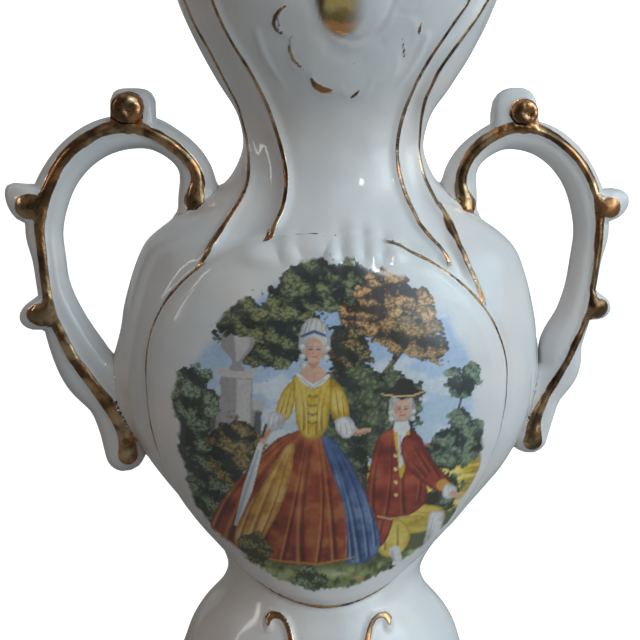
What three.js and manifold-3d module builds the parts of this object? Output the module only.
// A porcelain amphora, slip-cast and glazed as one hollow piece: a spreading lobed foot, a
// narrow waist, a flattened belly with a round-topped panel on its front and back, a fluted
// neck that opens to a scalloped mouth, and two scrolled handles luted to its shoulders and
// sides. Millimetres, +Z up, origin at the centre of the flat underside, front towards -Y.
import * as THREE from "three";
import { mergeVertices } from "three/addons/utils/BufferGeometryUtils.js";
import Module from "manifold-3d";

const wasm = await Module();
wasm.setup();

// Heights of the form above the underside.
const WAIST_HEIGHT = 53;
const BELLY_HEIGHT = 133;
const SHOULDER_HEIGHT = 186;
const NECK_HEIGHT = 218;
const MOUTH_HEIGHT = 322;

// Half widths, from the middle to each side, and half depths, from the middle to the front.
const FOOT_HALF_WIDTH = 61;
const WAIST_HALF_WIDTH = 37.6;
const BELLY_HALF_WIDTH = 80.3;
const SHOULDER_HALF_WIDTH = 64.5;
const NECK_HALF_WIDTH = 33.9;
const MOUTH_HALF_WIDTH = 76;
const FOOT_HALF_DEPTH = 48;
const WAIST_HALF_DEPTH = 36;
const BELLY_HALF_DEPTH = 55;
const SHOULDER_HALF_DEPTH = 41;
const NECK_HALF_DEPTH = 27;
const MOUTH_HALF_DEPTH = 60;

// The clay: the wall all round, the floor inside the foot, and how far the mould's cut goes
// above the lip, so that the mouth is open.
const WALL = 4.5;
const FLOOR = 7;
const MOUTH_CUT = 12;

// Relief: the ribs and flutes of the neck, the panels, the boss on the neck, and the lobes.
const RIB_RISE = 1.3;
const RIB_HALF_WIDTH = 2.2;
const FLUTE_DEPTH = 1.1;
const SCALLOP_RISE = 4;
const PANEL_SIDE_MARGIN = 13.8;
const PANEL_OVERLAP = 1;
const PANEL_TOP_SINK = 1.3;
const PANEL_FOOT_RISE = 2.6;
const PANEL_EDGE = 5;
const BOSS_HALF_WIDTH = 12.5;
const BOSS_HALF_HEIGHT = 17;
const BOSS_RISE = 2.2;
const WREATH_MARGIN = 16;
const WREATH_RISE = 1.1;
const WREATH_HALF_WIDTH = 3.2;
const FOOT_LOBE = 2.4;
const FOOT_SCROLL_RISE = 1.8;
const FOOT_SCROLL_HALF_WIDTH = 3;

// Handles, which were luted on by hand, so that each has its own place: the gap from the neck
// to the arch, how far the outer arm's middle stands past the belly, the heights of the arch
// and of the lower scroll, and the clay's width as a share of the drawn one.
const LEFT_HANDLE = { gap: 15.5, reach: 28, top: 221.2, tip: 98.2, clay: 1.02 };
const RIGHT_HANDLE = { gap: 13, reach: 19.5, top: 223, tip: 103.5, clay: 0.94 };

// What both have: the clay's half thickness from front to back, the bead along its front and
// back, the knobs and the ball of the lower scroll.
const HANDLE_HALF_THICKNESS = 7.6;
const BEAD_RISE = 1.4;
const BEAD_HALF_WIDTH = 2.4;
const KNOB_RADIUS = 7;
const TOP_KNOB_RADIUS = 9.2;
const TIP_RADIUS = 7.6;

// How finely the forms are cut into faces.
const OUTER_ROWS = [10, 6, 6, 5, 9];
const CAVITY_ROWS = [2, 3, 3, 3, 4];
const CAVITY_COLUMNS = 28;
const HANDLE_STEPS = 30;
const QUADRANT_CUTS = [3, 4, 9];

const PORCELAIN = new THREE.MeshStandardMaterial({
  color: 0xe9ebec,
  roughness: 0.12,
  metalness: 0,
});

const mix = (from, to, share) => from + (to - from) * share;
const clamp01 = (value) => Math.min(1, Math.max(0, value));
const ease = (value) => clamp01(value) ** 2 * (3 - 2 * clamp01(value));
const bump = (distance, halfWidth) => Math.exp(-((distance / halfWidth) ** 2));

// A smooth curve through points [place, value], which never swings past them: a cubic between
// each two, whose slope at a point is the harmonic mean of the slopes on its two sides.
function curveThrough(points) {
  const slopes = points.slice(1).map(([place, value], i) => {
    const [before, valueBefore] = points[i];
    return (value - valueBefore) / (place - before);
  });
  const tangents = points.map((_, i) => {
    if (i === 0 || i === points.length - 1) return slopes[Math.min(i, slopes.length - 1)];
    const [one, two] = [slopes[i - 1], slopes[i]];
    return one * two <= 0 ? 0 : (2 * one * two) / (one + two);
  });
  return (place) => {
    const last = points.length - 2;
    let i = 0;
    while (i < last && place > points[i + 1][0]) i += 1;
    const span = points[i + 1][0] - points[i][0];
    const t = clamp01((place - points[i][0]) / span);
    const [start, end] = [points[i][1], points[i + 1][1]];
    return (
      start +
      (end - start) * (3 * t ** 2 - 2 * t ** 3) +
      span * tangents[i] * (t ** 3 - 2 * t ** 2 + t) +
      span * tangents[i + 1] * (t ** 3 - t ** 2)
    );
  };
}

// The silhouette between each two heights, as [share of the way up, share of the way from the
// lower size to the upper one]. Widths and depths follow the same shares.
const LEVELS = [0, WAIST_HEIGHT, BELLY_HEIGHT, SHOULDER_HEIGHT, NECK_HEIGHT, MOUTH_HEIGHT];
const SPANS = [
  [[0, 0.1], [0.05, 0], [0.25, 0.07], [0.42, 0.22], [0.58, 0.37], [0.72, 0.58], [0.86, 0.88]],
  [[0, 0], [0.12, 0.08], [0.33, 0.405], [0.6, 0.785], [0.8, 0.95]],
  [[0, 0], [0.34, 0.08], [0.7, 0.36], [0.86, 0.56], [0.93, 0.72]],
  [[0, 0], [0.16, 0.25], [0.4, 0.63], [0.7, 0.9]],
  [[0, 0], [0.09, 0.04], [0.22, 0.235], [0.36, 0.44], [0.5, 0.6], [0.74, 0.78], [0.92, 0.91]],
];

function silhouette(sizes) {
  const points = SPANS.flatMap((span, i) =>
    span.map(([up, across]) => [
      mix(LEVELS[i], LEVELS[i + 1], up),
      mix(sizes[i], sizes[i + 1], across),
    ]),
  );
  return curveThrough([...points, [MOUTH_HEIGHT, sizes.at(-1)]]);
}

const halfWidth = silhouette([
  FOOT_HALF_WIDTH,
  WAIST_HALF_WIDTH,
  BELLY_HALF_WIDTH,
  SHOULDER_HALF_WIDTH,
  NECK_HALF_WIDTH,
  MOUTH_HALF_WIDTH,
]);
const halfDepth = silhouette([
  FOOT_HALF_DEPTH,
  WAIST_HALF_DEPTH,
  BELLY_HALF_DEPTH,
  SHOULDER_HALF_DEPTH,
  NECK_HALF_DEPTH,
  MOUTH_HALF_DEPTH,
]);

// Where the two ribs of each quarter run, as shares of the half width, from the panel's edge
// up over the shoulder and the neck to the mouth.
const aboveShoulder = (share) => mix(SHOULDER_HEIGHT, NECK_HEIGHT, share);
const aboveNeck = (share) => mix(NECK_HEIGHT, MOUTH_HEIGHT, share);
const belowShoulder = (share) => mix(BELLY_HEIGHT, SHOULDER_HEIGHT, share);
const innerRib = curveThrough([
  [belowShoulder(0.5), 0.6],
  [belowShoulder(0.83), 0.55],
  [aboveShoulder(0), 0.43],
  [aboveShoulder(0.35), 0.46],
  [aboveNeck(0), 0.6],
  [aboveNeck(0.2), 0.645],
  [aboveNeck(0.48), 0.745],
  [aboveNeck(1), 0.7],
]);
const outerRib = curveThrough([
  [belowShoulder(0.3), 0.84],
  [belowShoulder(0.5), 0.76],
  [belowShoulder(0.7), 0.68],
  [aboveShoulder(0), 0.655],
  [aboveShoulder(0.35), 0.76],
  [aboveNeck(0), 0.92],
  [aboveNeck(0.22), 0.865],
  [aboveNeck(0.48), 0.92],
  [aboveNeck(1), 0.93],
]);
const ribFade = (height) => ease((height - belowShoulder(0.4)) / (SHOULDER_HEIGHT - belowShoulder(0.4)));

// The panel's outline, seen from the front, is two half ellipses that meet at the belly.
const PANEL_HALF_WIDTH = BELLY_HALF_WIDTH - PANEL_SIDE_MARGIN;
const PANEL_TOP = SHOULDER_HEIGHT + PANEL_OVERLAP;
const PANEL_FOOT = WAIST_HEIGHT - PANEL_OVERLAP;

// Distance inside the panel's outline, negative outside it, for a point across and height.
function insidePanel(across, height) {
  const rise = height > BELLY_HEIGHT ? PANEL_TOP - BELLY_HEIGHT : BELLY_HEIGHT - PANEL_FOOT;
  const x = across / PANEL_HALF_WIDTH;
  const z = (height - BELLY_HEIGHT) / rise;
  const radius = Math.max(Math.hypot(x, z), 1e-6);
  const steepness = Math.hypot(x / PANEL_HALF_WIDTH, z / rise) / radius;
  return (1 - radius) / Math.max(steepness, 1e-6);
}

// How far relief lifts the surface outwards, for an angle from the side (0) to the front (a
// quarter turn), at a point across and height.
function relief(angle, across, height) {
  const inside = insidePanel(across, height);
  const width = halfWidth(height);
  const along = Math.hypot(width * Math.sin(angle), halfDepth(height) * Math.cos(angle));
  const stretch = along / Math.max(width * Math.sin(angle), 0.35 * along);
  const offPanel = ease(-inside / PANEL_EDGE);
  const inner = width * innerRib(height);
  const outer = width * outerRib(height);
  const ribs =
    bump((across - inner) * stretch, RIB_HALF_WIDTH) + bump((across - outer) * stretch, RIB_HALF_WIDTH);
  const fluteShare = clamp01((across - inner) / (outer - inner));
  const flute = Math.sin(Math.PI * fluteShare) ** 2;
  const neck = ribFade(height) * offPanel * (RIB_RISE * ribs - FLUTE_DEPTH * flute);
  const sink = mix(PANEL_FOOT_RISE, -PANEL_TOP_SINK, clamp01((height - WAIST_HEIGHT) / (PANEL_TOP - WAIST_HEIGHT)));
  const panel = sink * ease(inside / PANEL_EDGE + 0.5);
  return neck + panel + bossAndWreath(across, height) + footRelief(angle, across, height);
}

// An oval boss on the neck, inside a raised wreath.
const BOSS_HEIGHT = aboveNeck(0.53);
function bossAndWreath(across, height) {
  const rise = height - BOSS_HEIGHT;
  const boss = Math.hypot(across / BOSS_HALF_WIDTH, rise / BOSS_HALF_HEIGHT);
  const wreath = Math.hypot(
    across / (BOSS_HALF_WIDTH + WREATH_MARGIN),
    rise / (BOSS_HALF_HEIGHT + WREATH_MARGIN),
  );
  const fromWreath = (wreath - 1) * (BOSS_HALF_WIDTH + WREATH_MARGIN);
  return BOSS_RISE * ease((1.15 - boss) / 0.5) + WREATH_RISE * bump(fromWreath, WREATH_HALF_WIDTH);
}

// Four corner lobes in the foot's plan, and a scroll that runs down each of its quarters.
function footRelief(angle, across, height) {
  const low = 1 - ease(height / (0.75 * WAIST_HEIGHT));
  const lobes = -FOOT_LOBE * Math.cos(4 * angle) * low;
  const share = clamp01(height / (0.6 * WAIST_HEIGHT));
  const scrollAcross = FOOT_HALF_WIDTH * (0.62 - 0.75 * share + 0.5 * share ** 2);
  const scroll = bump(across - scrollAcross, FOOT_SCROLL_HALF_WIDTH);
  return lobes + FOOT_SCROLL_RISE * scroll * (1 - ease((height / WAIST_HEIGHT - 0.55) / 0.1));
}

// The angles of one quarter's columns at a height: the ribs are two of them, and the others
// lie evenly between, so that a rib is a line of edges. Below the panel's edge they are even.
function quadrantAngles(height) {
  const even = [0, 0.3, 0.58, 1].map((share) => (share * Math.PI) / 2);
  const onRibs = [0, Math.acos(outerRib(height)), Math.acos(innerRib(height)), Math.PI / 2];
  const knots = even.map((angle, i) => mix(angle, onRibs[i], ribFade(height)));
  return QUADRANT_CUTS.flatMap((cuts, i) =>
    Array.from({ length: cuts }, (_, k) => ({
      angle: mix(knots[i], knots[i + 1], k / cuts),
      lobe: i,
      share: k / cuts,
    })),
  );
}

// The lip rises in an arc between each two ribs.
function scallop(lobe, share) {
  if (lobe === 1) return Math.sin(Math.PI * share);
  return lobe === 0 ? Math.cos((Math.PI / 2) * share) : Math.sin((Math.PI / 2) * share);
}

// One ring of the outer surface: the first quarter from +X to the front, mirrored round.
function outerRing(height) {
  const lift = ease((height - NECK_HEIGHT) / (MOUTH_HEIGHT - NECK_HEIGHT)) ** 2;
  const point = ({ angle, lobe, share }) => {
    const [width, depth] = [halfWidth(height), halfDepth(height)];
    const across = width * Math.cos(angle);
    const normal = new THREE.Vector2(Math.cos(angle) / width, Math.sin(angle) / depth).normalize();
    const rise = relief(angle, across, height);
    return [
      across + normal.x * rise,
      depth * Math.sin(angle) + normal.y * rise,
      height + SCALLOP_RISE * lift * scallop(lobe, share),
    ];
  };
  const quarter = quadrantAngles(height).map(point);
  const front = point({ angle: Math.PI / 2, lobe: 2, share: 1 });
  const mirrorX = ([x, y, z]) => [-x, y, z];
  const mirrorY = ([x, y, z]) => [x, -y, z];
  const half = [...quarter, front, ...quarter.slice(1).reverse().map(mirrorX)];
  const side = mirrorX(quarter[0]);
  return [...half, side, ...half.slice(1).reverse().map(mirrorY)];
}

// One ring of the cavity, a wall's thickness inside the surface, whatever its slope.
function cavityRing(height) {
  const shrink = (size) => {
    const slope = (size(height + 1) - size(height - 1)) / 2;
    return size(height) - WALL * Math.min(Math.hypot(1, slope), 1.7);
  };
  const [width, depth] = [shrink(halfWidth), shrink(halfDepth)];
  return Array.from({ length: CAVITY_COLUMNS }, (_, i) => {
    const angle = (2 * Math.PI * i) / CAVITY_COLUMNS;
    return [width * Math.cos(angle), depth * Math.sin(angle), height];
  });
}

// A closed solid from rings of points, each anticlockwise seen from the far end of the path.
// A middle point closes each end.
function solidFromRings(rings) {
  const count = rings[0].length;
  const middle = (ring) => [0, 1, 2].map((axis) => ring.reduce((sum, p) => sum + p[axis], 0) / count);
  const points = [...rings.flat(), middle(rings[0]), middle(rings.at(-1))];
  const faces = [];
  rings.slice(1).forEach((_, row) => {
    for (let i = 0; i < count; i += 1) {
      const next = (i + 1) % count;
      const [a, b] = [row * count + i, row * count + next];
      faces.push(a, b, b + count, a, b + count, a + count);
    }
  });
  const lastRow = (rings.length - 1) * count;
  for (let i = 0; i < count; i += 1) {
    const next = (i + 1) % count;
    faces.push(points.length - 2, next, i);
    faces.push(points.length - 1, lastRow + i, lastRow + next);
  }
  return toSolid(points.flat(), faces);
}

function toSolid(positions, faces) {
  return new wasm.Manifold(
    new wasm.Mesh({
      numProp: 3,
      vertProperties: new Float32Array(positions),
      triVerts: new Uint32Array(faces),
    }),
  );
}

// Heights of the rings between a lowest and a highest one, with so many rows in each span of
// the form.
function ringHeights(from, to, rows) {
  const ends = [from, ...LEVELS.slice(1, -1), to];
  const rings = rows.flatMap((count, i) =>
    Array.from({ length: count }, (_, k) => mix(ends[i], ends[i + 1], k / count)),
  );
  return [...rings, to];
}

// The middle line of a handle's clay in the XZ plane, from its root inside the shoulder, over
// the arch and down the outer arm, as [share of the way out, share of the way up, half width].
const HANDLE_ARCH = [
  [0.02, 0.735, 7.4],
  [0.02, 0.805, 7.4],
  [0.03, 0.87, 6.4],
  [0.06, 0.908, 5.7],
  [0.112, 0.94, 5.4],
  [0.2, 0.972, 5.4],
  [0.32, 0.998, 5.9],
  [0.475, 1, 6.3],
  [0.636, 0.98, 6.7],
  [0.784, 0.932, 6.8],
  [0.9, 0.862, 6.8],
  [0.976, 0.774, 7],
  [1, 0.695, 6.8],
  [0.972, 0.612, 6],
  [0.945, 0.528, 6.1],
  [0.888, 0.434, 7.8],
  [0.8, 0.333, 9.6],
];

// From there it runs down beside the body to the lower scroll, and keeps off the silhouette by
// a share of the reach: [share of the reach, share of the way up, half width].
const HANDLE_SIDE = [
  [0.43, 0.256, 9.6],
  [0.2, 0.171, 8.4],
  [0.2, 0.09, 7],
  [0.3, 0.008, 6.6],
];

function handleLine({ gap, reach, top, tip, clay }) {
  const near = NECK_HALF_WIDTH + gap;
  const far = BELLY_HALF_WIDTH + reach;
  const arch = HANDLE_ARCH.map(([out, up, half]) => {
    return [mix(near, far, out), mix(tip, top, up), clay * half];
  });
  const side = HANDLE_SIDE.map(([off, up, half]) => {
    const height = mix(tip, top, up);
    return [halfWidth(height) + off * reach, height, clay * half];
  });
  return [...arch, ...side];
}

// A section across the handle's clay: rounded inner and outer edges, and a bead that stands
// out of its front and back. Points are [along the half width, along the thickness].
function handleSection(half) {
  const bead = Math.min(BEAD_HALF_WIDTH, 0.5 * half);
  const front = [
    [1, 0],
    [0.86 * 1, 0.6],
    [(bead + 0.25 * half) / half, 0.95],
  ].map(([out, thick]) => [out * half, thick * HANDLE_HALF_THICKNESS]);
  const crest = [
    [0.55 * bead, HANDLE_HALF_THICKNESS + BEAD_RISE],
    [-0.55 * bead, HANDLE_HALF_THICKNESS + BEAD_RISE],
  ];
  const flip = ([out, thick]) => [-out, thick];
  const upper = [...front, ...crest, ...front.slice(1).reverse().map(flip)];
  return [...upper, [-half, 0], ...upper.slice(1).reverse().map(([out, thick]) => [out, -thick])];
}

// Where the knobs sit along the arch's line, as rows of it.
const TOP_KNOB_ROW = 6.7;
const UPPER_KNOB_ROW = 11;
const LOWER_KNOB_ROW = 15;

function ellipsoid(x, z, radius, halfThickness) {
  const ball = new THREE.SphereGeometry(1, 12, 6);
  ball.rotateX(Math.PI / 2);
  ball.scale(radius, halfThickness, radius);
  ball.rotateY(0.2);
  ball.translate(x, 0, z);
  ball.deleteAttribute("normal");
  ball.deleteAttribute("uv");
  const merged = mergeVertices(ball, 1e-3);
  return toSolid(merged.attributes.position.array, merged.index.array);
}

// A handle on the side that the sign gives: its clay, a knob on the arch, two on the outer
// arm, and the scroll that ends it below.
function handleSolid(placing, sign) {
  const line = handleLine(placing);
  const curve = new THREE.CatmullRomCurve3(
    line.map(([x, z, half]) => new THREE.Vector3(sign * x, half, z)),
    false,
    "centripetal",
  );
  const samples = curve.getPoints(HANDLE_STEPS);
  const rings = samples.map((at, i) => {
    const ahead = samples[Math.min(i + 1, samples.length - 1)];
    const behind = samples[Math.max(i - 1, 0)];
    const run = new THREE.Vector2(ahead.x - behind.x, ahead.z - behind.z).normalize();
    return handleSection(at.y).map(([out, thick]) => [at.x + out * run.y, thick, at.z - out * run.x]);
  });
  const onArm = (row) => curve.getPoint(row / (line.length - 1));
  const outerKnob = (row, radius) => {
    const at = onArm(row);
    return ellipsoid(at.x + sign * 1.08 * at.y, at.z, radius, HANDLE_HALF_THICKNESS + BEAD_RISE);
  };
  const top = onArm(TOP_KNOB_ROW);
  const tip = line.at(-1);
  const pieces = [
    ellipsoid(top.x, top.z + 1.2 * top.y, TOP_KNOB_RADIUS, HANDLE_HALF_THICKNESS + BEAD_RISE),
    outerKnob(UPPER_KNOB_ROW, KNOB_RADIUS),
    outerKnob(LOWER_KNOB_ROW, KNOB_RADIUS),
    ellipsoid(sign * tip[0], tip[1], TIP_RADIUS, HANDLE_HALF_THICKNESS + BEAD_RISE),
  ];
  return pieces.reduce((joined, piece) => joined.add(piece), solidFromRings(rings));
}

function amphora() {
  const outer = solidFromRings(ringHeights(0, MOUTH_HEIGHT, OUTER_ROWS).map(outerRing));
  const cavity = solidFromRings(ringHeights(FLOOR, MOUTH_HEIGHT + MOUTH_CUT, CAVITY_ROWS).map(cavityRing));
  const right = handleSolid(RIGHT_HANDLE, 1);
  const left = handleSolid(LEFT_HANDLE, -1);
  return outer.add(right).add(left).subtract(cavity);
}

function meshFrom(solid, name, material) {
  const { vertProperties, triVerts, numProp } = solid.getMesh();
  const geometry = new THREE.BufferGeometry();
  geometry.setAttribute("position", new THREE.BufferAttribute(vertProperties, numProp));
  geometry.setIndex(new THREE.BufferAttribute(triVerts, 1));
  geometry.computeVertexNormals();
  const mesh = new THREE.Mesh(geometry, material);
  mesh.name = name;
  return mesh;
}

const group = new THREE.Group();
group.add(meshFrom(amphora(), "amphora", PORCELAIN));

export default group;
